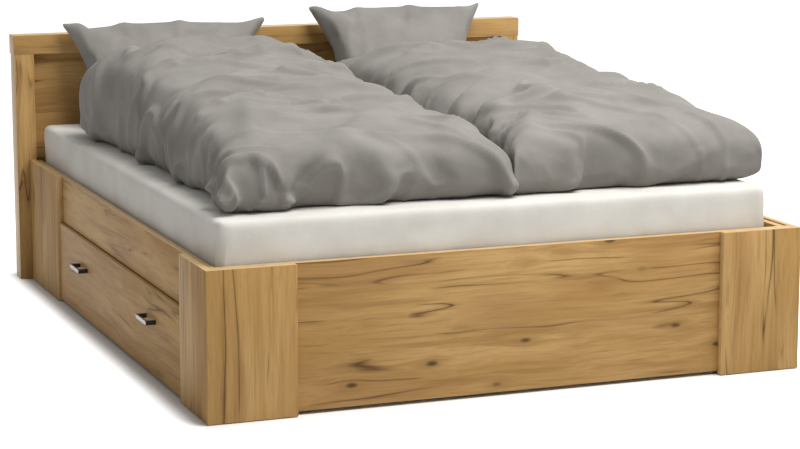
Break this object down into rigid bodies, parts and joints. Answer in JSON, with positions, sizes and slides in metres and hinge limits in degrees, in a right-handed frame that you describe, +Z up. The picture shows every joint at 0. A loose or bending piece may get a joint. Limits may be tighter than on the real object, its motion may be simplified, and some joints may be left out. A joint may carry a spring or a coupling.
{
  "type": "platform bed with storage drawers",
  "caption": "Low double platform bed in oak-look board with a framed headboard, a long storage drawer on castors in each side, slatted bases, mattress and bedding.",
  "frame": {"origin": "on the floor, at the centre of the overall width and length", "axes": "+X to the right seen from the foot end, +Y towards the headboard, +Z up"},
  "size_m": [1.828, 2.116, 0.8829],
  "materials": {
    "oak_laminate": "satin",
    "beech": "satin",
    "pine": "matte",
    "zinc_steel": "satin",
    "black_plastic": "matte",
    "grey_rubber": "matte",
    "black_metal": "satin",
    "tape": "matte",
    "white_sheet": "matte",
    "grey_cotton": "matte"
  },
  "bodies": {
    "frame": {"headboard_top_rail": "oak_laminate", "headboard_stile_left": "oak_laminate", "headboard_stile_right": "oak_laminate", "headboard_upper_panel": "oak_laminate", "headboard_lower_panel": "oak_laminate", "headboard_dowels": "beech", "headboard_bolts": "zinc_steel", "barrel_nuts": "zinc_steel", "foot_panel": "oak_laminate", "foot_post_front_left": "oak_laminate", "foot_post_front_right": "oak_laminate", "foot_post_side_left": "oak_laminate", "foot_post_side_right": "oak_laminate", "head_post_left": "oak_laminate", "head_post_right": "oak_laminate", "side_panel_left": "oak_laminate", "side_panel_right": "oak_laminate", "panel_screws": "zinc_steel", "corner_blocks": "pine", "head_crossbar": "oak_laminate", "slat_bearer_left": "pine", "slat_bearer_right": "pine", "bearer_screws": "zinc_steel", "centre_beam": "pine", "beam_shoes": "zinc_steel", "centre_legs": "zinc_steel", "centre_leg_feet": "black_plastic", "slats_left": "beech", "slats_right": "beech", "slat_tapes": "tape", "floor_glides": "black_plastic", "mattress": "white_sheet", "duvet_left": "grey_cotton", "duvet_right": "grey_cotton", "pillow_left": "grey_cotton", "pillow_right": "grey_cotton"},
    "drawer_left": {"drawer_left_front": "oak_laminate", "drawer_left_foot_side": "oak_laminate", "drawer_left_head_side": "oak_laminate", "drawer_left_back": "oak_laminate", "drawer_left_bottom": "oak_laminate", "drawer_left_handle_foot": "black_metal", "drawer_left_handle_head": "black_metal", "drawer_left_handle_screws": "zinc_steel", "drawer_left_castor_housings": "black_plastic", "drawer_left_castor_axles": "zinc_steel"},
    "drawer_left_front_wheels": {"drawer_left_wheels_front": "grey_rubber"},
    "drawer_left_back_wheels": {"drawer_left_wheels_back": "grey_rubber"},
    "drawer_right": {"drawer_right_front": "oak_laminate", "drawer_right_foot_side": "oak_laminate", "drawer_right_head_side": "oak_laminate", "drawer_right_back": "oak_laminate", "drawer_right_bottom": "oak_laminate", "drawer_right_handle_foot": "black_metal", "drawer_right_handle_head": "black_metal", "drawer_right_handle_screws": "zinc_steel", "drawer_right_castor_housings": "black_plastic", "drawer_right_castor_axles": "zinc_steel"},
    "drawer_right_front_wheels": {"drawer_right_wheels_front": "grey_rubber"},
    "drawer_right_back_wheels": {"drawer_right_wheels_back": "grey_rubber"}
  },
  "joints": [
    {"name": "drawer_left_slide", "type": "slide", "parent": "frame", "child": "drawer_left", "axis": [-1, 0, 0], "range_m": [0, 0.6]},
    {"name": "drawer_left_front_wheels_spin", "type": "hinge", "parent": "drawer_left", "child": "drawer_left_front_wheels", "pos_m": [-0.789, -0.101, 0.02], "axis": [0, -1, 0], "continuous": true},
    {"name": "drawer_left_back_wheels_spin", "type": "hinge", "parent": "drawer_left", "child": "drawer_left_back_wheels", "pos_m": [-0.225, -0.101, 0.02], "axis": [0, -1, 0], "continuous": true},
    {"name": "drawer_right_slide", "type": "slide", "parent": "frame", "child": "drawer_right", "axis": [1, 0, 0], "range_m": [0, 0.6]},
    {"name": "drawer_right_front_wheels_spin", "type": "hinge", "parent": "drawer_right", "child": "drawer_right_front_wheels", "pos_m": [0.789, -0.101, 0.02], "axis": [0, 1, 0], "continuous": true},
    {"name": "drawer_right_back_wheels_spin", "type": "hinge", "parent": "drawer_right", "child": "drawer_right_back_wheels", "pos_m": [0.225, -0.101, 0.02], "axis": [0, 1, 0], "continuous": true}
  ],
  "couplings": [
    {"joint": "drawer_left_front_wheels_spin", "follows": "drawer_left_slide", "rad_per_m": 50},
    {"joint": "drawer_left_back_wheels_spin", "follows": "drawer_left_slide", "rad_per_m": 50},
    {"joint": "drawer_right_front_wheels_spin", "follows": "drawer_right_slide", "rad_per_m": 50},
    {"joint": "drawer_right_back_wheels_spin", "follows": "drawer_right_slide", "rad_per_m": 50}
  ]
}
